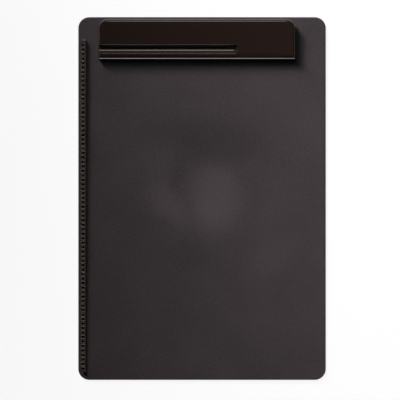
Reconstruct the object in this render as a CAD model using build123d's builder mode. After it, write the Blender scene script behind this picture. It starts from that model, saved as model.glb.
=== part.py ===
from build123d import *

import math
import os

# Flat clipboard with a wide sprung clip and a notched line rail.
# Millimetres, +Z up. The board lies flat: its underside is z = 0, its centre is
# x = y = 0, its long side runs along Y and the clip is at the +Y end.

# Board
board_width = 234.0
board_length = 343.0
board_thickness = 3.0
board_corner_radius = 10.5
board_top_rounding = 1.3
board_bottom_rounding = 0.6

# Clip shell, set in from the board's edges
clip_left_inset = 19.1
clip_right_inset = 28.9
clip_rear_inset = 2.1
clip_depth = 38.3
clip_wall = 2.0
clip_rear_corner_radius = 9.0
clip_front_corner_radius = 1.8
clip_edge_rounding = 2.6
skirt_clearance = 0.4

# Nose of the clip: its top curves down to the front, first gently, then tightly
nose_depth = 5.3
nose_brow_radius = 7.0
nose_lean_angle = 30.0

# Pen groove in the top of the clip, open at the clip's left end
groove_front_land = 6.0
groove_width = 8.0
groove_depth = 3.4
groove_length = 131.8
groove_wall = 1.6
groove_rim_rounding = 0.7

# Jaw strip and the lips of the jaw bar on both sides of it
strip_front_lip = 0.8
strip_rear_lip = 0.8
strip_width = 2.8
strip_height = 1.9
strip_board_gap = 0.05
strip_side_clearance = 0.05
strip_end_inset = 6.0
strip_rounding = 0.3

# Hinge
open_angle = 20.0
hinge_setback = 13.9
open_board_clearance = 0.2
pin_radius = 1.5
pin_overhang = 0.6
pin_chamfer = 0.3
pin_running_clearance = 0.05
pin_push_clearance = 0.02

# Torsion spring
wire_diameter = 1.2
coil_pitch = 1.7
coil_whole_turns = 4
coil_pin_clearance = 0.6
coil_floor_clearance = 0.2
coil_roof_clearance = 0.4
coil_side_gap = 3.8
spring_leg_length = 8.0

# Bracket, folded from sheet
bracket_end_inset = 38.0
bracket_sheet = 0.8
bracket_bend_radius = 1.2
bracket_edge_margin = 0.4
lug_wall = 1.3
lug_foot_length = 9.0

# Rivets through bracket and board
rivet_radius = 1.5
rivet_hole_clearance = 0.1
rivet_coil_clearance = 0.1
rivet_top_head_radius = 2.4
rivet_top_head_height = 0.7
rivet_top_head_rounding = 0.5
rivet_bottom_head_radius = 3.0
rivet_bottom_head_height = 0.8
rivet_bottom_recess = 0.2
rivet_head_clearance = 0.2
rivet_bore_radius = 0.8
rivet_bore_depth = 1.6

# Knuckles under the clip, snapped over the pins
knuckle_thickness = 3.0
knuckle_side_clearance = 0.4
knuckle_wall = 1.9
knuckle_root_length = 10.0
snap_bite = 0.4

# Stiffening ribs under the clip
rib_thickness = 1.2
rib_height = 1.6
rib_end_inset = 11.0
rib_middle_count = 3

# Line rail
rail_left_inset = 3.0
rail_top_inset = 21.1
rail_bottom_inset = 7.4
rail_width = 4.1
rail_wall_width = 1.3
rail_height = 4.8
rail_base_height = 1.9
rail_top_block = 5.6
rail_least_bottom_block = 3.4
rail_pitch = 4.24
rail_tooth_width = 2.2
rail_tooth_rounding = 0.9
rail_end_rounding = 1.0
rail_end_land = 0.9

# Pegs under the line rail
peg_count = 6
peg_radius = 1.2
peg_hole_clearance = 0.05
peg_end_inset = 14.0
peg_head_radius = 2.0
peg_head_height = 0.8
peg_head_recess = 0.1
peg_head_clearance = 0.15

# Hinge and spring, from the board up to the inside of the clip's top
coil_turns = coil_whole_turns + 1 / 2
coil_length = coil_pitch * coil_turns + wire_diameter
coil_radius = pin_radius + coil_pin_clearance + wire_diameter / 2
coil_outer_radius = coil_radius + wire_diameter / 2
bracket_floor_z = board_thickness + bracket_sheet
hinge_z = bracket_floor_z + coil_floor_clearance + coil_outer_radius
clip_under_z = hinge_z + coil_outer_radius + coil_roof_clearance
clip_top_z = clip_under_z + clip_wall
skirt_z = board_thickness + skirt_clearance

# Plan of the clip
clip_left_x = -board_width / 2 + clip_left_inset
clip_right_x = board_width / 2 - clip_right_inset
clip_width = clip_right_x - clip_left_x
clip_centre_x = (clip_left_x + clip_right_x) / 2
clip_rear_y = board_length / 2 - clip_rear_inset
clip_front_y = clip_rear_y - clip_depth
clip_centre_y = (clip_rear_y + clip_front_y) / 2
hinge_y = clip_rear_y - hinge_setback
jaw_bar_depth = strip_front_lip + strip_width + strip_rear_lip
strip_centre_y = clip_front_y + strip_front_lip + strip_width / 2
strip_seat_z = board_thickness + strip_board_gap + strip_height

# Nose of the clip in section: a gentle arc, then one that ends upright
nose_lean = math.radians(nose_lean_angle)
nose_start_y = clip_front_y + nose_depth
nose_brow_y = nose_start_y - nose_brow_radius * math.sin(nose_lean)
nose_brow_z = clip_top_z - nose_brow_radius * (1 - math.cos(nose_lean))
nose_tip_radius = (nose_brow_y - clip_front_y) / (1 - math.sin(nose_lean))
nose_tip_z = nose_brow_z - nose_tip_radius * math.cos(nose_lean)

# Pen groove, an arc of this radius in section
groove_y = clip_front_y + groove_front_land + groove_width / 2
groove_radius = (groove_width**2 / 4 + groove_depth**2) / (2 * groove_depth)
groove_axis_z = clip_top_z - groove_depth + groove_radius
groove_ball_x = clip_left_x + groove_length - groove_radius
groove_front_rim_y = groove_y - groove_width / 2 - groove_rim_rounding / 2

# Brackets and what is beside them
bracket_width = coil_length + 2 * coil_side_gap + 2 * bracket_sheet
bracket_centres_x = (clip_left_x + bracket_end_inset, clip_right_x - bracket_end_inset)
rivet_offset = coil_outer_radius + rivet_coil_clearance + rivet_top_head_radius
bracket_half_length = rivet_offset + rivet_top_head_radius + bracket_edge_margin
rivet_places_y = (hinge_y - rivet_offset, hinge_y + rivet_offset)
rivet_places = [(x, y) for x in bracket_centres_x for y in rivet_places_y]
lug_radius = pin_radius + lug_wall
knuckle_radius = pin_radius + knuckle_wall
knuckle_reach = bracket_width / 2 + knuckle_side_clearance
pin_reach = knuckle_reach + knuckle_thickness + pin_overhang
snap_mouth_width = 2 * pin_radius - snap_bite

# Slope of the rear skirt: as the clip opens it comes down parallel to the board
swing = math.radians(open_angle)
drop_room = hinge_z - board_thickness - open_board_clearance
relief_end_z = hinge_z + (hinge_setback * math.sin(swing) - drop_room) / math.cos(swing)
relief_start_y = hinge_y + (drop_room - (hinge_z - skirt_z) * math.cos(swing)) / math.sin(
    swing
)

# Line rail: as many notches as its length holds
rail_left_x = -board_width / 2 + rail_left_inset
rail_wall_x = rail_left_x + rail_width - rail_wall_width
rail_top_y = board_length / 2 - rail_top_inset
rail_bottom_y = -board_length / 2 + rail_bottom_inset
rail_first_notch_y = rail_top_y - rail_top_block
rail_notched_length = rail_first_notch_y - rail_bottom_y - rail_least_bottom_block
rail_notch_count = int(rail_notched_length / rail_pitch) + 1
rail_top_z = board_thickness + rail_height
rail_base_z = board_thickness + rail_base_height
rail_corner_cut = rail_width - rail_end_land
peg_step = (rail_top_y - rail_bottom_y - 2 * peg_end_inset) / (peg_count - 1)
peg_places = [
    (rail_left_x + rail_width / 2, rail_top_y - peg_end_inset - peg_step * n)
    for n in range(peg_count)
]

# Board: one moulded plate, its top edge well rounded, with holes for the rivets
# and for the rail's pegs, each opened out underneath so that the heads lie above
# the face that the board rests on.
with BuildPart() as board:
    with BuildSketch(Plane.XY):
        RectangleRounded(board_width, board_length, board_corner_radius)
    extrude(amount=board_thickness)
    fillet(board.faces().sort_by(Axis.Z)[-1].edges(), board_top_rounding)
    fillet(board.faces().sort_by(Axis.Z)[0].edges(), board_bottom_rounding)
    with BuildSketch(Plane.XY):
        with Locations(*rivet_places):
            Circle(rivet_radius + rivet_hole_clearance)
        with Locations(*peg_places):
            Circle(peg_radius + peg_hole_clearance)
    extrude(amount=board_thickness, mode=Mode.SUBTRACT)
    with BuildSketch(Plane.XY):
        with Locations(*rivet_places):
            Circle(rivet_bottom_head_radius + rivet_head_clearance)
    extrude(amount=rivet_bottom_recess + rivet_bottom_head_height, mode=Mode.SUBTRACT)
    with BuildSketch(Plane.XY):
        with Locations(*peg_places):
            Circle(peg_head_radius + peg_head_clearance)
    extrude(amount=peg_head_recess + peg_head_height, mode=Mode.SUBTRACT)
board.part.label = "board"

# Notch of the line rail, seen along X: straight sides and well rounded brows
with BuildSketch(Plane.XY) as notch:
    with BuildLine():
        half_notch = (rail_pitch - rail_tooth_width) / 2
        brow = half_notch + rail_tooth_rounding
        shoulder_z = rail_top_z - rail_tooth_rounding
        Polyline(
            (half_notch, shoulder_z),
            (half_notch, rail_base_z),
            (-half_notch, rail_base_z),
            (-half_notch, shoulder_z),
        )
        TangentArc((-half_notch, shoulder_z), (-brow, rail_top_z), tangent=(0, 1))
        Line((-brow, rail_top_z), (brow, rail_top_z))
        TangentArc((half_notch, shoulder_z), (brow, rail_top_z), tangent=(0, 1))
    make_face()

# Line rail: a low wall beside a row of round-topped teeth on one strip. Its top
# end is rounded over and its bottom end is cut off to follow the board's corner.
# Pegs under it pass through the board and end in heads spread flat underneath.
with BuildPart() as line_rail:
    with BuildSketch(Plane.XY.offset(board_thickness)):
        with Locations((rail_left_x, rail_top_y)):
            Rectangle(
                rail_width, rail_top_y - rail_bottom_y, align=(Align.MIN, Align.MAX)
            )
    extrude(amount=rail_height)
    fillet(
        line_rail.edges().filter_by(Axis.X).group_by(Axis.Z)[-1].sort_by(Axis.Y)[-1],
        rail_end_rounding,
    )
    with BuildSketch(Plane.YZ.offset(rail_left_x)):
        with Locations(
            *[(rail_first_notch_y - rail_pitch * n, 0) for n in range(rail_notch_count)]
        ):
            add(notch.sketch)
    extrude(amount=rail_wall_x - rail_left_x, mode=Mode.SUBTRACT)
    with BuildSketch(Plane.XY.offset(board_thickness)):
        with BuildLine():
            Polyline(
                (rail_left_x, rail_bottom_y),
                (rail_left_x + rail_corner_cut, rail_bottom_y),
                (rail_left_x, rail_bottom_y + rail_corner_cut),
                close=True,
            )
        make_face()
    extrude(amount=rail_height, mode=Mode.SUBTRACT)
    with BuildSketch(Plane.XY.offset(peg_head_recess)):
        with Locations(*peg_places):
            Circle(peg_radius)
    extrude(amount=board_thickness - peg_head_recess)
    with BuildSketch(Plane.XY.offset(peg_head_recess)):
        with Locations(*peg_places):
            Circle(peg_head_radius)
    extrude(amount=peg_head_height)
line_rail.part.label = "line_rail"


def hinge_bracket(centre_x):
    """Sheet steel channel: a floor on the board and two lugs that hold the pin."""
    side_start_x = centre_x - bracket_width
    with BuildPart() as bracket:
        with BuildSketch(Plane.XZ.offset(-hinge_y - bracket_half_length)):
            with BuildLine():
                half_width = (bracket_width - bracket_sheet) / 2
                middle_z = board_thickness + bracket_sheet / 2
                FilletPolyline(
                    (centre_x - half_width, hinge_z + lug_radius),
                    (centre_x - half_width, middle_z),
                    (centre_x + half_width, middle_z),
                    (centre_x + half_width, hinge_z + lug_radius),
                    radius=bracket_bend_radius - bracket_sheet / 2,
                )
            trace(line_width=bracket_sheet)
        extrude(amount=2 * bracket_half_length)
        with BuildSketch(Plane.YZ.offset(side_start_x)):
            with Locations((hinge_y, hinge_z)):
                Circle(lug_radius)
            with Locations((hinge_y, board_thickness + bracket_bend_radius)):
                Rectangle(
                    lug_foot_length, bracket_sheet, align=(Align.CENTER, Align.MIN)
                )
            make_hull()
            with Locations((hinge_y, board_thickness)):
                Rectangle(
                    2 * bracket_half_length,
                    bracket_bend_radius,
                    align=(Align.CENTER, Align.MIN),
                )
        extrude(amount=2 * bracket_width, mode=Mode.INTERSECT)
        with BuildSketch(Plane.YZ.offset(side_start_x)):
            with Locations((hinge_y, hinge_z)):
                Circle(pin_radius + pin_push_clearance)
        extrude(amount=2 * bracket_width, mode=Mode.SUBTRACT)
        with BuildSketch(Plane.XY.offset(board_thickness)):
            with Locations(*[(centre_x, y) for y in rivet_places_y]):
                Circle(rivet_radius + rivet_hole_clearance)
        extrude(amount=bracket_sheet, mode=Mode.SUBTRACT)
    return bracket.part


def hinge_pin(centre_x):
    """Plain steel pin, pushed into both lugs; the clip's knuckles turn on its ends."""
    with BuildPart() as pin:
        with BuildSketch(Plane.YZ.offset(centre_x - pin_reach)):
            with Locations((hinge_y, hinge_z)):
                Circle(pin_radius)
        extrude(amount=2 * pin_reach)
        chamfer(pin.edges().filter_by(GeomType.CIRCLE), pin_chamfer)
    return pin.part


def coil_point(centre_x, turn):
    """A point of the coil's middle line; turn 0 is under the pin, going forward."""
    angle = 2 * math.pi * turn
    return Vector(
        centre_x + coil_pitch * (turn - coil_turns / 2),
        hinge_y - coil_radius * math.sin(angle),
        hinge_z - coil_radius * math.cos(angle),
    )


def coil_direction(turn):
    """The way that the wire runs at that point."""
    angle = 2 * math.pi * turn
    return Vector(
        coil_pitch / (2 * math.pi),
        -coil_radius * math.cos(angle),
        coil_radius * math.sin(angle),
    ).normalized()


def biarc(start, start_way, end, end_way):
    """Two arcs that meet smoothly and keep the ways at both ends."""
    across = end - start
    along = across.dot(start_way + end_way)
    spread = 2 * (1 - start_way.dot(end_way))
    reach = (math.sqrt(along**2 + spread * across.dot(across)) - along) / spread
    start_corner = start + start_way * reach
    end_corner = end - end_way * reach
    middle = (start_corner + end_corner) / 2
    TangentArc(start, middle, tangent=start_way)
    TangentArc(middle, end, tangent=end_corner - start_corner)


def torsion_spring(centre_x):
    """Round wire wound about the pin, both legs pointing back, one above the other."""
    start = coil_point(centre_x, 0)
    start_way = coil_direction(0)
    end = coil_point(centre_x, coil_turns)
    end_way = coil_direction(coil_turns)
    with BuildPart() as spring:
        with BuildLine() as wire_path:
            Line(start - start_way * spring_leg_length, start)
            for quarter in range(round(coil_turns * 4)):
                here = quarter / 4
                there = (quarter + 1) / 4
                biarc(
                    coil_point(centre_x, here),
                    coil_direction(here),
                    coil_point(centre_x, there),
                    coil_direction(there),
                )
            Line(end, end + end_way * spring_leg_length)
        with BuildSketch(Plane(wire_path.wire() @ 0, z_dir=wire_path.wire() % 0)):
            Circle(wire_diameter / 2)
        sweep(path=wire_path.wire())
    return spring.part


def least_coil_gap():
    """The least free distance between turns, taken on points of the middle line."""
    points_per_turn = 24
    points = [
        coil_point(0, n / points_per_turn)
        for n in range(round(coil_turns * points_per_turn) + 1)
    ]
    near = points_per_turn * 3 // 4
    distances = [
        (points[i] - points[j]).length
        for i in range(len(points))
        for j in range(i + near, len(points))
    ]
    return min(distances) - wire_diameter


# Brackets, pins and springs, one of each at either end of the clip
sides = ("left", "right")
brackets = [hinge_bracket(x) for x in bracket_centres_x]
pins = [hinge_pin(x) for x in bracket_centres_x]
springs = [torsion_spring(x) for x in bracket_centres_x]
for side, bracket, pin, spring in zip(sides, brackets, pins, springs):
    bracket.label = "bracket_" + side
    pin.label = "pin_" + side
    spring.label = "spring_" + side
print("least gap between turns", round(least_coil_gap(), 3))

# Rivets: flat heads let into the underside of the board, shanks through board and
# bracket, and rounded heads set down on the bracket. A bore opens each flat head.
with BuildPart() as bracket_rivets:
    with BuildSketch(Plane.XY.offset(rivet_bottom_recess)):
        with Locations(*rivet_places):
            Circle(rivet_bottom_head_radius)
    extrude(amount=rivet_bottom_head_height)
    with BuildSketch(Plane.XY.offset(rivet_bottom_recess)):
        with Locations(*rivet_places):
            Circle(rivet_radius)
    extrude(amount=bracket_floor_z - rivet_bottom_recess)
    with BuildSketch(Plane.XY.offset(bracket_floor_z)):
        with Locations(*rivet_places):
            Circle(rivet_top_head_radius)
    extrude(amount=rivet_top_head_height)
    fillet(
        bracket_rivets.edges().filter_by(GeomType.CIRCLE).group_by(Axis.Z)[-1],
        rivet_top_head_rounding,
    )
    with BuildSketch(Plane.XY.offset(rivet_bottom_recess)):
        with Locations(*rivet_places):
            Circle(rivet_bore_radius)
    extrude(amount=rivet_bore_depth, mode=Mode.SUBTRACT)
bracket_rivets.part.label = "bracket_rivets"

# Inside of the clip: the space under its top, between the jaw bar and the rear
# wall, less the round underside of the pen groove.
with BuildPart() as clip_inside:
    with BuildSketch(Plane.XY.offset(board_thickness)) as inside_plan:
        with Locations((clip_centre_x, clip_front_y + jaw_bar_depth)):
            Rectangle(
                clip_width - 2 * clip_wall,
                clip_depth - jaw_bar_depth - clip_wall,
                align=(Align.CENTER, Align.MIN),
            )
        fillet(
            inside_plan.vertices().group_by(Axis.Y)[-1],
            clip_rear_corner_radius - clip_wall,
        )
    extrude(amount=clip_under_z - board_thickness)
    with BuildSketch(Plane.YZ.offset(clip_left_x)):
        with Locations((groove_y, groove_axis_z)):
            Circle(groove_radius + groove_wall)
    extrude(amount=groove_ball_x - clip_left_x, mode=Mode.SUBTRACT)
    with Locations((groove_ball_x, groove_y, groove_axis_z)):
        Sphere(groove_radius + groove_wall, mode=Mode.SUBTRACT)

# Clip shell: one moulding. Its rear skirt is cut away on a slope so that its rear
# edge can go down to the board as the jaw opens. The pen groove, the seat of the
# jaw strip, the knuckles that snap over the pins and the ribs are part of it.
with BuildPart() as clip_shell:
    with BuildSketch(Plane.XY.offset(skirt_z)) as clip_plan:
        with Locations((clip_centre_x, clip_centre_y)):
            Rectangle(clip_width, clip_depth)
        fillet(clip_plan.vertices().group_by(Axis.Y)[-1], clip_rear_corner_radius)
        fillet(clip_plan.vertices().group_by(Axis.Y)[0], clip_front_corner_radius)
    extrude(amount=clip_top_z - skirt_z)
    fillet(clip_shell.faces().sort_by(Axis.Z)[-1].edges(), clip_edge_rounding)
    with BuildSketch(Plane.YZ.offset(clip_left_x)):
        with BuildLine():
            TangentArc(
                (nose_start_y, clip_top_z),
                (nose_brow_y, nose_brow_z),
                tangent=(-1, 0),
            )
            TangentArc(
                (clip_front_y, nose_tip_z),
                (nose_brow_y, nose_brow_z),
                tangent=(0, 1),
            )
            Polyline(
                (clip_front_y, nose_tip_z),
                (clip_front_y, clip_top_z),
                (nose_start_y, clip_top_z),
            )
        make_face()
    extrude(amount=clip_width, mode=Mode.SUBTRACT)
    add(clip_inside.part, mode=Mode.SUBTRACT)
    with BuildSketch(Plane.YZ.offset(clip_left_x)):
        with BuildLine():
            Polyline(
                (relief_start_y, skirt_z),
                (clip_rear_y, relief_end_z),
                (clip_rear_y, skirt_z),
                close=True,
            )
        make_face()
    extrude(amount=clip_width, mode=Mode.SUBTRACT)
    with BuildSketch(Plane.YZ.offset(clip_left_x)):
        with Locations((groove_y, groove_axis_z)):
            Circle(groove_radius)
    extrude(amount=groove_ball_x - clip_left_x, mode=Mode.SUBTRACT)
    with Locations((groove_ball_x, groove_y, groove_axis_z)):
        Sphere(groove_radius, mode=Mode.SUBTRACT)
    groove_rim = (
        clip_shell.faces()
        .sort_by(Axis.Z)[-1]
        .edges()
        .filter_by_position(Axis.Y, groove_front_rim_y, groove_y + groove_width)
        .filter_by_position(Axis.X, clip_left_x, groove_ball_x + groove_radius)
    )
    fillet(groove_rim, groove_rim_rounding)
    with BuildSketch(Plane.XY.offset(skirt_z)):
        with Locations((clip_centre_x, strip_centre_y)):
            Rectangle(clip_width - 2 * strip_end_inset, strip_width)
    extrude(amount=strip_seat_z - skirt_z, mode=Mode.SUBTRACT)
    for centre_x in bracket_centres_x:
        for knuckle_x in (
            centre_x - knuckle_reach - knuckle_thickness,
            centre_x + knuckle_reach,
        ):
            with BuildSketch(Plane.YZ.offset(knuckle_x)):
                with Locations((hinge_y, hinge_z)):
                    Circle(knuckle_radius)
                with Locations((hinge_y, clip_under_z)):
                    Rectangle(
                        knuckle_root_length,
                        clip_wall / 2,
                        align=(Align.CENTER, Align.MIN),
                    )
                make_hull()
                with Locations((hinge_y, hinge_z)):
                    Circle(pin_radius + pin_running_clearance, mode=Mode.SUBTRACT)
                    Rectangle(
                        snap_mouth_width,
                        2 * knuckle_radius,
                        align=(Align.CENTER, Align.MAX),
                        mode=Mode.SUBTRACT,
                    )
            extrude(amount=knuckle_thickness)
    rib_step = (bracket_centres_x[1] - bracket_centres_x[0]) / (rib_middle_count + 1)
    rib_places_x = [clip_left_x + rib_end_inset, clip_right_x - rib_end_inset]
    for n in range(rib_middle_count):
        rib_places_x.append(bracket_centres_x[0] + rib_step * (n + 1))
    for rib_x in rib_places_x:
        with BuildSketch(Plane.YZ.offset(rib_x - rib_thickness / 2)):
            with Locations((clip_front_y + jaw_bar_depth / 2, clip_top_z - clip_wall / 2)):
                Rectangle(
                    clip_depth - jaw_bar_depth / 2 - clip_wall / 2,
                    rib_height + clip_wall / 2,
                    align=(Align.MIN, Align.MAX),
                )
            with Locations((groove_y, groove_axis_z)):
                Circle(groove_radius + groove_wall / 2, mode=Mode.SUBTRACT)
        extrude(amount=rib_thickness)
clip_shell.part.label = "clip_shell"

# Jaw strip: soft strip let into the bottom of the jaw bar, which presses the paper
# on the board.
with BuildPart() as jaw_strip:
    with BuildSketch(Plane.XY.offset(board_thickness + strip_board_gap)):
        with Locations((clip_centre_x, strip_centre_y)):
            Rectangle(
                clip_width - 2 * strip_end_inset - 2 * strip_side_clearance,
                strip_width - 2 * strip_side_clearance,
            )
    extrude(amount=strip_height)
    fillet(jaw_strip.faces().sort_by(Axis.Z)[0].edges(), strip_rounding)
jaw_strip.part.label = "jaw_strip"

# Every piece to its own file
os.makedirs("parts", exist_ok=True)
export_step(board.part, "parts/board.step")
export_step(line_rail.part, "parts/line_rail.step")
for side, bracket, pin, spring in zip(sides, brackets, pins, springs):
    export_step(bracket, "parts/bracket_" + side + ".step")
    export_step(pin, "parts/pin_" + side + ".step")
    export_step(spring, "parts/spring_" + side + ".step")
export_step(bracket_rivets.part, "parts/bracket_rivets.step")
export_step(clip_shell.part, "parts/clip_shell.step")
export_step(jaw_strip.part, "parts/jaw_strip.step")
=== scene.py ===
import math

import bpy
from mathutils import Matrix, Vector


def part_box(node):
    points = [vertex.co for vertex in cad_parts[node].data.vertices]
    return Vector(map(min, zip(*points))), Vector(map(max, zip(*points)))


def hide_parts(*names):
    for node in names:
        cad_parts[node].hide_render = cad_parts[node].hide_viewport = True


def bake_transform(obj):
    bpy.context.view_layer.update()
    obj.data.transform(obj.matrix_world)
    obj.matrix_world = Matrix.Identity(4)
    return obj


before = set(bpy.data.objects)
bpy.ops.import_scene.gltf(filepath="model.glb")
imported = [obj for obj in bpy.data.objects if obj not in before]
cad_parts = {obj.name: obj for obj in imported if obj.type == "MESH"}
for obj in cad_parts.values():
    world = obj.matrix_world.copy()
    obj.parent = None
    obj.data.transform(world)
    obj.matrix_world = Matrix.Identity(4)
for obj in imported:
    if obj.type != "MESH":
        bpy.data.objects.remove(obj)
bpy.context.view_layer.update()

# Board: one flat plate, injection moulded in black ABS in a spark-eroded mould, so
# that its whole face has a fine matt grain. Everything else is fixed to it.


def linear(hex_colour):
    """An sRGB colour such as "#2a2628" as the linear colour that a node takes."""
    channels = [int(hex_colour[n:n + 2], 16) / 255 for n in (1, 3, 5)]
    return [c / 12.92 if c <= 0.04045 else ((c + 0.055) / 1.055) ** 2.4 for c in channels] + [1.0]


def add_node(material, kind, settings=None, values=None, links=None):
    """Adds a node: settings are its properties, values its sockets, links what feeds them."""
    node = material.node_tree.nodes.new(kind)
    for name, value in (settings or {}).items():
        setattr(node, name, value)
    for socket, value in (values or {}).items():
        node.inputs[socket].default_value = value
    for socket, source in (links or {}).items():
        material.node_tree.links.new(source, node.inputs[socket])
    return node


def new_material(name):
    """A material with an empty node tree."""
    material = bpy.data.materials.new(name)
    material.use_nodes = True
    material.node_tree.nodes.clear()
    return material


def finish_material(material, shader, *pieces):
    """Joins the shader to the output and gives the material to the pieces."""
    output = add_node(material, "ShaderNodeOutputMaterial")
    material.node_tree.links.new(shader.outputs[0], output.inputs["Surface"])
    for piece in pieces:
        piece.data.materials.clear()
        piece.data.materials.append(material)


mm = 0.001
board_top = 3 * mm
wander_width = 20 * mm
sheen_stray = 8 * mm
blotch_width = 45 * mm
blotch_share = 0.27
grain_share = 1.25
mean_tone = 0.37
grain_depth = 0.02 * mm
# The real grain is about 0.1 to 0.3 mm wide, too fine for the render, so it is drawn
# as coarse as it needs to be to show.
grain_pitch = 1.4 * mm

# ABS with a spark-eroded face: dark grey rather than black, matt, no mirror image.
# Soft lighter and darker patches on it are painted sheen: painted highlight and painted shade that
# stand in for the lamps' light on the face.
abs_board = new_material("spark_eroded_abs")
place = add_node(abs_board, "ShaderNodeTexCoord")
# Wavers the edges of the painted sheen patches below.
sheen_wander = add_node(
    abs_board, "ShaderNodeTexNoise",
    values={"Scale": 1 / wander_width, "Detail": 2.0},
    links={"Vector": place.outputs["Object"]},
)
wandered = add_node(
    abs_board, "ShaderNodeVectorMath",
    settings={"operation": "MULTIPLY_ADD"},
    values={1: (sheen_stray, sheen_stray, 0)},
    links={0: sheen_wander.outputs["Color"], 2: place.outputs["Object"]},
)
blotches = add_node(
    abs_board, "ShaderNodeTexNoise",
    values={"Scale": 1 / blotch_width, "Detail": 2.0, "Roughness": 0.5},
    links={"Vector": place.outputs["Object"]},
)
grain = add_node(
    abs_board, "ShaderNodeTexNoise",
    values={"Scale": 1 / grain_pitch, "Detail": 3.0, "Roughness": 0.6},
    links={"Vector": place.outputs["Object"]},
)
tone = add_node(
    abs_board, "ShaderNodeMath",
    settings={"operation": "MULTIPLY_ADD"},
    values={1: blotch_share, 2: mean_tone - (blotch_share + grain_share) / 2},
    links={0: blotches.outputs["Fac"]},
)
tone = add_node(
    abs_board, "ShaderNodeMath",
    settings={"operation": "MULTIPLY_ADD"},
    values={1: grain_share},
    links={0: grain.outputs["Fac"], 2: tone.outputs[0]},
)
# Each painted sheen patch, a painted highlight where its tone is above zero and painted shade
# below: its middle, half length and half width in mm, its turn in degrees, its tone.
for middle_x, middle_y, half_length, half_width, turn, patch_tone in (
    (12, 0, 47, 38, 90, 0.3),
    (-32, -6, 35, 19, -53, 0.22),
    (-23, 21, 28, 11, 80, -0.08),
    (8, 55, 68, 34, -12, -0.155),
    (62, -60, 50, 21, 42, 0.095),
    (-16, -54, 55, 23, 0, -0.05),
):
    patch_frame = add_node(
        abs_board, "ShaderNodeMapping",
        settings={"vector_type": "TEXTURE"},
        values={
            "Location": (middle_x * mm + sheen_stray / 2, middle_y * mm + sheen_stray / 2, board_top),
            "Rotation": (0, 0, math.radians(turn)),
            "Scale": (half_length * mm, half_width * mm, 1),
        },
        links={"Vector": wandered.outputs[0]},
    )
    patch_ball = add_node(
        abs_board, "ShaderNodeTexGradient",
        settings={"gradient_type": "SPHERICAL"},
        links={"Vector": patch_frame.outputs["Vector"]},
    )
    patch = add_node(
        abs_board, "ShaderNodeMapRange",
        settings={"interpolation_type": "SMOOTHSTEP"},
        values={"From Min": 0.0, "From Max": 0.8, "To Min": 0.0, "To Max": patch_tone},
        links={"Value": patch_ball.outputs["Fac"]},
    )
    tone = add_node(
        abs_board, "ShaderNodeMath",
        links={0: tone.outputs[0], 1: patch.outputs["Result"]},
    )
board_colour = add_node(
    abs_board, "ShaderNodeMix",
    settings={"data_type": "RGBA"},
    values={"A": linear("#1d191a"), "B": linear("#494244")},
    links={"Factor": tone.outputs[0]},
)
board_roughness = add_node(
    abs_board, "ShaderNodeMapRange",
    values={"From Min": 0.3, "From Max": 0.7, "To Min": 0.42, "To Max": 0.52},
    links={"Value": grain.outputs["Fac"]},
)
board_bump = add_node(
    abs_board, "ShaderNodeBump",
    values={"Strength": 1.0, "Distance": grain_depth},
    links={"Height": grain.outputs["Fac"]},
)
board_shader = add_node(
    abs_board, "ShaderNodeBsdfPrincipled",
    values={"IOR": 1.53},
    links={
        "Base Color": board_colour.outputs["Result"],
        "Roughness": board_roughness.outputs["Result"],
        "Normal": board_bump.outputs["Normal"],
    },
)
finish_material(abs_board, board_shader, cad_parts["board"])

# Line rail: a thin strip moulded in black polystyrene in a polished mould, pushed
# into the board with six pegs whose ends are spread flat underneath.
rail_wave_width = 6 * mm
rail_wave_depth = 0.02 * mm
rail_scuff_width = 0.8 * mm

# Polystyrene from a polished mould: near black, with sharp reflections that its slight
# waviness bends, and faint scuffs from handling.
polished_rail = new_material("polished_polystyrene")
rail_place = add_node(polished_rail, "ShaderNodeTexCoord")
rail_waves = add_node(
    polished_rail, "ShaderNodeTexNoise",
    values={"Scale": 1 / rail_wave_width, "Detail": 1.0},
    links={"Vector": rail_place.outputs["Object"]},
)
rail_scuffs = add_node(
    polished_rail, "ShaderNodeTexNoise",
    values={"Scale": 1 / rail_scuff_width, "Detail": 4.0, "Roughness": 0.7},
    links={"Vector": rail_place.outputs["Object"]},
)
rail_colour = add_node(
    polished_rail, "ShaderNodeMix",
    settings={"data_type": "RGBA"},
    values={"A": linear("#2e2623"), "B": linear("#3f342e")},
    links={"Factor": rail_scuffs.outputs["Fac"]},
)
rail_roughness = add_node(
    polished_rail, "ShaderNodeMapRange",
    values={"From Min": 0.3, "From Max": 0.75, "To Min": 0.12, "To Max": 0.2},
    links={"Value": rail_scuffs.outputs["Fac"]},
)
rail_bump = add_node(
    polished_rail, "ShaderNodeBump",
    values={"Strength": 1.0, "Distance": rail_wave_depth},
    links={"Height": rail_waves.outputs["Fac"]},
)
rail_shader = add_node(
    polished_rail, "ShaderNodeBsdfPrincipled",
    values={"IOR": 1.59},
    links={
        "Base Color": rail_colour.outputs["Result"],
        "Roughness": rail_roughness.outputs["Result"],
        "Normal": rail_bump.outputs["Normal"],
    },
)
finish_material(polished_rail, rail_shader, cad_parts["line_rail"])

# Brackets: two channels folded from 0.8 mm steel sheet and zinc plated, lying on
# the board under the clip. Their lugs hold the hinge pins.
rolling_pitch = 0.25 * mm
rolling_depth = 0.01 * mm
rolling_stretch = 0.06
zinc_cloud_width = 3.5 * mm

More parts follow.
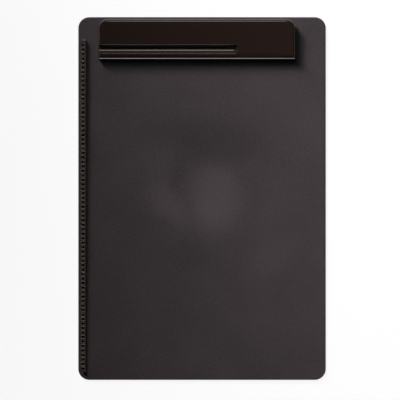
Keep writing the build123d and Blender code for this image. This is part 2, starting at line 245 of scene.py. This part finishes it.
# Zinc plated sheet steel: pale grey with a cloudy half-gloss, and fine lines along it
# from the rolling mill.
zinc_sheet = new_material("zinc_plated_sheet_steel")
sheet_place = add_node(zinc_sheet, "ShaderNodeTexCoord")
sheet_streaks = add_node(
    zinc_sheet, "ShaderNodeMapping",
    values={"Scale": (1.0, rolling_stretch, 1.0)},
    links={"Vector": sheet_place.outputs["Object"]},
)
sheet_rolling = add_node(
    zinc_sheet, "ShaderNodeTexNoise",
    values={"Scale": 1 / rolling_pitch, "Detail": 2.0},
    links={"Vector": sheet_streaks.outputs["Vector"]},
)
sheet_cloud = add_node(
    zinc_sheet, "ShaderNodeTexNoise",
    values={"Scale": 1 / zinc_cloud_width, "Detail": 3.0, "Roughness": 0.6},
    links={"Vector": sheet_place.outputs["Object"]},
)
sheet_colour = add_node(
    zinc_sheet, "ShaderNodeMix",
    settings={"data_type": "RGBA"},
    values={"A": linear("#b4b3ab"), "B": linear("#d0d0ce")},
    links={"Factor": sheet_cloud.outputs["Fac"]},
)
sheet_roughness = add_node(
    zinc_sheet, "ShaderNodeMapRange",
    values={"From Min": 0.3, "From Max": 0.7, "To Min": 0.28, "To Max": 0.44},
    links={"Value": sheet_rolling.outputs["Fac"]},
)
sheet_bump = add_node(
    zinc_sheet, "ShaderNodeBump",
    values={"Strength": 0.6, "Distance": rolling_depth},
    links={"Height": sheet_rolling.outputs["Fac"]},
)
sheet_shader = add_node(
    zinc_sheet, "ShaderNodeBsdfPrincipled",
    values={"Metallic": 1.0},
    links={
        "Base Color": sheet_colour.outputs["Result"],
        "Roughness": sheet_roughness.outputs["Result"],
        "Normal": sheet_bump.outputs["Normal"],
    },
)
finish_material(
    zinc_sheet, sheet_shader,
    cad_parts["bracket_left"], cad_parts["bracket_right"],
)

# Rivets: four tubular steel rivets, zinc plated, set from above so that their flat
# heads lie in the underside of the board.
rivet_mark_width = 0.6 * mm

# Zinc plated rivet steel: pale grey and half glossy, with small duller and brighter marks.
zinc_rivet = new_material("zinc_plated_rivet_steel")
rivet_place = add_node(zinc_rivet, "ShaderNodeTexCoord")
rivet_marks = add_node(
    zinc_rivet, "ShaderNodeTexNoise",
    values={"Scale": 1 / rivet_mark_width, "Detail": 3.0, "Roughness": 0.6},
    links={"Vector": rivet_place.outputs["Object"]},
)
rivet_colour = add_node(
    zinc_rivet, "ShaderNodeMix",
    settings={"data_type": "RGBA"},
    values={"A": linear("#a9a9a4"), "B": linear("#cdcdcb")},
    links={"Factor": rivet_marks.outputs["Fac"]},
)
rivet_roughness = add_node(
    zinc_rivet, "ShaderNodeMapRange",
    values={"From Min": 0.3, "From Max": 0.7, "To Min": 0.24, "To Max": 0.42},
    links={"Value": rivet_marks.outputs["Fac"]},
)
rivet_shader = add_node(
    zinc_rivet, "ShaderNodeBsdfPrincipled",
    values={"Metallic": 1.0},
    links={
        "Base Color": rivet_colour.outputs["Result"],
        "Roughness": rivet_roughness.outputs["Result"],
    },
)
finish_material(zinc_rivet, rivet_shader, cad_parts["bracket_rivets"])

# Hinge pins: two plain 3 mm steel pins, centreless ground, pushed through the lugs
# of the brackets.
grinding_pitch = 0.12 * mm
grinding_stretch = 0.05

# Ground steel: bright, with hair-fine rings round the pin from the grinding wheel.
ground_steel = new_material("ground_steel")
pin_place = add_node(ground_steel, "ShaderNodeTexCoord")
pin_rings = add_node(
    ground_steel, "ShaderNodeMapping",
    values={"Scale": (1.0, grinding_stretch, grinding_stretch)},
    links={"Vector": pin_place.outputs["Object"]},
)
pin_grinding = add_node(
    ground_steel, "ShaderNodeTexNoise",
    values={"Scale": 1 / grinding_pitch, "Detail": 2.0},
    links={"Vector": pin_rings.outputs["Vector"]},
)
pin_colour = add_node(
    ground_steel, "ShaderNodeMix",
    settings={"data_type": "RGBA"},
    values={"A": linear("#b9b9b8"), "B": linear("#d6d6d6")},
    links={"Factor": pin_grinding.outputs["Fac"]},
)
pin_roughness = add_node(
    ground_steel, "ShaderNodeMapRange",
    values={"From Min": 0.3, "From Max": 0.7, "To Min": 0.18, "To Max": 0.3},
    links={"Value": pin_grinding.outputs["Fac"]},
)
pin_shader = add_node(
    ground_steel, "ShaderNodeBsdfPrincipled",
    values={"Metallic": 1.0},
    links={
        "Base Color": pin_colour.outputs["Result"],
        "Roughness": pin_roughness.outputs["Result"],
    },
)
finish_material(
    ground_steel, pin_shader,
    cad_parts["pin_left"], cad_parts["pin_right"],
)

# Springs: two torsion springs wound from 1.2 mm steel wire round the pins. One leg of
# a real one presses on the bracket and the other under the clip; here both lie just
# clear of them. The coil winds up as the clip opens.
wire_mark_width = 0.4 * mm

# Drawn and zinc plated wire: mid grey, half glossy, with small marks from the die.
spring_wire = new_material("drawn_spring_wire")
wire_place = add_node(spring_wire, "ShaderNodeTexCoord")
wire_marks = add_node(
    spring_wire, "ShaderNodeTexNoise",
    values={"Scale": 1 / wire_mark_width, "Detail": 3.0},
    links={"Vector": wire_place.outputs["Object"]},
)
wire_colour = add_node(
    spring_wire, "ShaderNodeMix",
    settings={"data_type": "RGBA"},
    values={"A": linear("#8f8f8b"), "B": linear("#b8b8b5")},
    links={"Factor": wire_marks.outputs["Fac"]},
)
wire_roughness = add_node(
    spring_wire, "ShaderNodeMapRange",
    values={"From Min": 0.3, "From Max": 0.7, "To Min": 0.26, "To Max": 0.4},
    links={"Value": wire_marks.outputs["Fac"]},
)
wire_shader = add_node(
    spring_wire, "ShaderNodeBsdfPrincipled",
    values={"Metallic": 1.0},
    links={
        "Base Color": wire_colour.outputs["Result"],
        "Roughness": wire_roughness.outputs["Result"],
    },
)
# In the part, the leg at the low-X end stays with the bracket and the other turns with the clip;
# here each spring is drawn as a copy of its part's mesh.
for side in ("left", "right"):
    low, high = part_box("spring_" + side)
    wound = bpy.data.objects.new(
        "wound_spring_" + side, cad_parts["spring_" + side].data.copy()
    )
    bpy.context.scene.collection.objects.link(wound)
    finish_material(spring_wire, wire_shader, wound)
    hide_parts("spring_" + side)
    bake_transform(wound)

# Clip: one wide moulding in black ABS from a polished mould, snapped over the pins.
# A pen groove runs along its top from the left end.
clip_wave_width = 9 * mm
clip_wave_depth = 0.015 * mm
clip_scuff_width = 1.6 * mm

# ABS from a polished mould: a warm black, glossy enough to show bright lines along its
# rounded edges, with a little waviness and faint scuffs.
glossy_abs = new_material("polished_abs")
clip_place = add_node(glossy_abs, "ShaderNodeTexCoord")
clip_waves = add_node(
    glossy_abs, "ShaderNodeTexNoise",
    values={"Scale": 1 / clip_wave_width, "Detail": 1.0},
    links={"Vector": clip_place.outputs["Object"]},
)
clip_scuffs = add_node(
    glossy_abs, "ShaderNodeTexNoise",
    values={"Scale": 1 / clip_scuff_width, "Detail": 5.0, "Roughness": 0.65},
    links={"Vector": clip_place.outputs["Object"]},
)
clip_colour = add_node(
    glossy_abs, "ShaderNodeMix",
    settings={"data_type": "RGBA"},
    values={"A": linear("#160f0c"), "B": linear("#1f1613")},
    links={"Factor": clip_scuffs.outputs["Fac"]},
)
clip_roughness = add_node(
    glossy_abs, "ShaderNodeMapRange",
    values={"From Min": 0.3, "From Max": 0.7, "To Min": 0.13, "To Max": 0.18},
    links={"Value": clip_scuffs.outputs["Fac"]},
)
clip_bump = add_node(
    glossy_abs, "ShaderNodeBump",
    values={"Strength": 1.0, "Distance": clip_wave_depth},
    links={"Height": clip_waves.outputs["Fac"]},
)
clip_shader = add_node(
    glossy_abs, "ShaderNodeBsdfPrincipled",
    values={"IOR": 1.53},
    links={
        "Base Color": clip_colour.outputs["Result"],
        "Roughness": clip_roughness.outputs["Result"],
        "Normal": clip_bump.outputs["Normal"],
    },
)
finish_material(glossy_abs, clip_shader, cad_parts["clip_shell"])

# Jaw strip: a strip of black rubber pressed into the clip's front bar, with fine
# ribs along it from the extrusion die, which hold the paper.
rib_pitch = 0.5 * mm
rib_depth = 0.1 * mm
strip_dust_width = 0.7 * mm
# The length of one wave of a wave texture whose scale is 1.
unit_wave = 0.314

# Extruded rubber: dull dark grey that throws back no image, with a trace of dust.
black_rubber = new_material("extruded_rubber")
strip_place = add_node(black_rubber, "ShaderNodeTexCoord")
strip_ribs = add_node(
    black_rubber, "ShaderNodeTexWave",
    settings={"bands_direction": "Y"},
    values={"Scale": unit_wave / rib_pitch, "Distortion": 0.4},
    links={"Vector": strip_place.outputs["Object"]},
)
strip_dust = add_node(
    black_rubber, "ShaderNodeTexNoise",
    values={"Scale": 1 / strip_dust_width, "Detail": 3.0},
    links={"Vector": strip_place.outputs["Object"]},
)
strip_colour = add_node(
    black_rubber, "ShaderNodeMix",
    settings={"data_type": "RGBA"},
    values={"A": linear("#1c1b1b"), "B": linear("#2d2b2a")},
    links={"Factor": strip_dust.outputs["Fac"]},
)
strip_bump = add_node(
    black_rubber, "ShaderNodeBump",
    values={"Strength": 1.0, "Distance": rib_depth},
    links={"Height": strip_ribs.outputs["Fac"]},
)
strip_shader = add_node(
    black_rubber, "ShaderNodeBsdfPrincipled",
    values={"Roughness": 0.75, "IOR": 1.52},
    links={
        "Base Color": strip_colour.outputs["Result"],
        "Normal": strip_bump.outputs["Normal"],
    },
)
finish_material(black_rubber, strip_shader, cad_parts["jaw_strip"])

# Stage: a plain pale floor under the board, which is the photo's white background. To
# the camera and in reflections it mostly glows, so that it is even and nearly white.
floor_side = 20
floor_drop = 0.2 * mm
seen_glow = 0.93
bpy.ops.mesh.primitive_plane_add(size=floor_side, location=(0, 0, -floor_drop))
floor = bpy.context.active_object
floor.name = "floor"
pale_floor = new_material("pale_floor")
floor_rays = add_node(pale_floor, "ShaderNodeLightPath")
seen_or_shiny = add_node(
    pale_floor, "ShaderNodeMath",
    settings={"operation": "MAXIMUM"},
    links={0: floor_rays.outputs["Is Camera Ray"], 1: floor_rays.outputs["Is Glossy Ray"]},
)
seen_through = add_node(
    pale_floor, "ShaderNodeMath",
    settings={"operation": "MAXIMUM"},
    links={0: seen_or_shiny.outputs[0], 1: floor_rays.outputs["Is Transmission Ray"]},
)
glow_share = add_node(
    pale_floor, "ShaderNodeMath",
    settings={"operation": "MULTIPLY"},
    values={1: seen_glow},
    links={0: seen_through.outputs[0]},
)
floor_paint = add_node(
    pale_floor, "ShaderNodeBsdfDiffuse", values={"Color": linear("#f4f3f3")}
)
floor_glow = add_node(
    pale_floor, "ShaderNodeEmission", values={"Color": linear("#fdfcfd"), "Strength": 1.0}
)
floor_mix = add_node(
    pale_floor, "ShaderNodeMixShader",
    links={0: glow_share.outputs[0], 1: floor_paint.outputs[0], 2: floor_glow.outputs[0]},
)
finish_material(pale_floor, floor_mix, floor)

# Camera: straight above, far enough away that the clip's sides don't show. One pixel
# covers photo_scale of the board's face, whose middle is at the given column and row.
camera_height = 8.0
photo_side = 400
photo_scale = 0.9452 * mm
board_column = 202.04
board_row = 198.53
sensor_width = 36
bpy.ops.object.camera_add(
    location=(
        (photo_side / 2 - board_column) * photo_scale,
        (board_row - photo_side / 2) * photo_scale,
        camera_height,
    ),
    rotation=(0, 0, 0),
)
camera = bpy.context.active_object
camera.data.type = "PERSP"
camera.data.sensor_width = sensor_width
camera.data.lens = sensor_width * (camera_height - board_top) / (photo_side * photo_scale)
camera.data.clip_end = 100
bpy.context.scene.camera = camera
bpy.context.scene.view_settings.view_transform = "Standard"

# Lights: two lamps at the rear left give the light and the shadows, one steep and
# small, one low and wide. Their narrow beams point to the right, so that the left side
# gets less. They are left out of reflections, where they would leave white glints.
# A strip behind and a card in front do the opposite: they are seen in reflections, as
# bright lines along the edges, and don't fill the shadows.
room_glow = 0.01
clip_middle = (0.0, 0.15, 0.01)
room = bpy.data.worlds.new("dim_room")
bpy.context.scene.world = room
room.use_nodes = True
room.node_tree.nodes["Background"].inputs["Color"].default_value = linear("#ffffff")
room.node_tree.nodes["Background"].inputs["Strength"].default_value = room_glow


def softbox(name, place, aim, width, height, spread, power):
    """A rectangular lamp at a place, aimed at a point. Sizes in m, beam in degrees, power in W."""
    bpy.ops.object.light_add(type="AREA", location=place)
    lamp = bpy.context.active_object
    lamp.name = name
    lamp.rotation_euler = (Vector(aim) - Vector(place)).to_track_quat("-Z", "Y").to_euler()
    lamp.data.shape = "RECTANGLE"
    lamp.data.size = width
    lamp.data.size_y = height
    lamp.data.spread = math.radians(spread)
    lamp.data.energy = power
    return lamp


steep = softbox("steep_softbox", (-0.426, 0.895, 1.05), (0.561, -0.996, 0), 0.2, 0.2, 52, 4.2)
low = softbox("low_softbox", (-0.608, 1.086, 0.678), (0.196, 0.174, 0), 0.4, 0.6, 36, 3.4)
rear_strip = softbox("rear_strip", (0.0, 0.78, 1.04), clip_middle, 0.3, 0.6, 180, 1.8)
front_card = softbox("front_card", (0.0, -1.117, 0.25), clip_middle, 0.3, 0.4, 180, 2.4)
for key in (steep, low):
    key.visible_glossy = False
for card in (rear_strip, front_card):
    card.visible_diffuse = False
